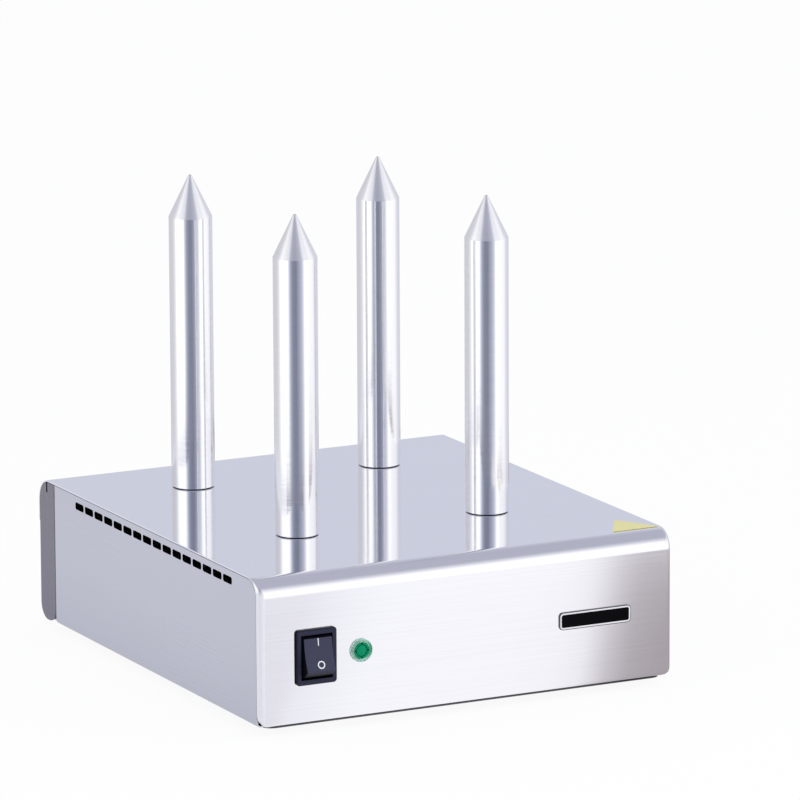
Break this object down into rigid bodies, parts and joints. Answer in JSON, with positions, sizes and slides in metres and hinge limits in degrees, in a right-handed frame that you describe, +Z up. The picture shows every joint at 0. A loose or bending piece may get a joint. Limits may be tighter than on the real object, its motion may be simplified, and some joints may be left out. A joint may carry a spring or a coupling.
{
  "type": "hot dog spike machine",
  "caption": "Countertop machine with heated upright spikes on a low vented stainless housing, with a rocker switch and an indicator lamp.",
  "frame": {"origin": "on the floor under the middle of the whole footprint, from the proud end of the rocker to the end of the cable gland", "axes": "+X to the right as seen from the front, +Y to the rear, +Z up"},
  "size_m": [0.2514, 0.3088, 0.2652],
  "materials": {
    "shell_steel": "satin front, polished top",
    "side_steel": "satin",
    "rear_steel": "dull satin",
    "zinc_steel": "zinc plated",
    "plate_steel": "dark coated",
    "spike_aluminium": "turned, satin",
    "heater_steel": "heat stained",
    "switch_plastic": "fine grain",
    "rocker_plastic": "semi gloss",
    "terminal_brass": "plain",
    "lens_green": "translucent",
    "lamp_plastic": "plain",
    "black_nylon": "plain",
    "black_rubber": "matt",
    "badge_metal": "dark anodised",
    "patch_yellow": "self-adhesive film",
    "block_ceramic": "unglazed"
  },
  "bodies": {
    "housing": {"housing_shell": "shell_steel", "left_side_panel": "side_steel", "right_side_panel": "side_steel", "rear_panel": "rear_steel", "bottom_plate": "plate_steel", "spike_front_left": "spike_aluminium", "spike_front_right": "spike_aluminium", "spike_rear_left": "spike_aluminium", "spike_rear_right": "spike_aluminium", "heater_front_left": "heater_steel", "heater_front_right": "heater_steel", "heater_rear_left": "heater_steel", "heater_rear_right": "heater_steel", "spike_washer_front_left": "zinc_steel", "spike_washer_front_right": "zinc_steel", "spike_washer_rear_left": "zinc_steel", "spike_washer_rear_right": "zinc_steel", "spike_nut_front_left": "zinc_steel", "spike_nut_front_right": "zinc_steel", "spike_nut_rear_left": "zinc_steel", "spike_nut_rear_right": "zinc_steel", "switch_frame": "switch_plastic", "switch_terminal_lower_left": "terminal_brass", "switch_terminal_lower_right": "terminal_brass", "switch_terminal_upper_left": "terminal_brass", "switch_terminal_upper_right": "terminal_brass", "lamp_lens": "lens_green", "lamp_body": "lamp_plastic", "lamp_clip": "zinc_steel", "name_plate": "badge_metal", "corner_patch": "patch_yellow", "gland_body": "black_nylon", "gland_cap": "black_nylon", "gland_seal": "black_rubber", "gland_locknut": "black_nylon", "foot_front_left": "black_rubber", "foot_front_right": "black_rubber", "foot_rear_left": "black_rubber", "foot_rear_right": "black_rubber", "foot_screw_front_left": "zinc_steel", "foot_screw_front_right": "zinc_steel", "foot_screw_rear_left": "zinc_steel", "foot_screw_rear_right": "zinc_steel", "foot_nut_front_left": "zinc_steel", "foot_nut_front_right": "zinc_steel", "foot_nut_rear_left": "zinc_steel", "foot_nut_rear_right": "zinc_steel", "plate_screw_front_left": "zinc_steel", "plate_screw_front_right": "zinc_steel", "plate_screw_rear_left": "zinc_steel", "plate_screw_rear_right": "zinc_steel", "rear_screw_left": "zinc_steel", "rear_screw_middle": "zinc_steel", "rear_screw_right": "zinc_steel", "earth_stud": "zinc_steel", "earth_nut": "zinc_steel", "terminal_block": "block_ceramic"},
    "rocker": {"rocker": "rocker_plastic"}
  },
  "joints": [
    {"name": "rocker_tilt", "type": "hinge", "parent": "housing", "child": "rocker", "pos_m": [-0.092, -0.14469, 0.0425], "axis": [1, 0, 0], "range_deg": [0, 30]}
  ]
}
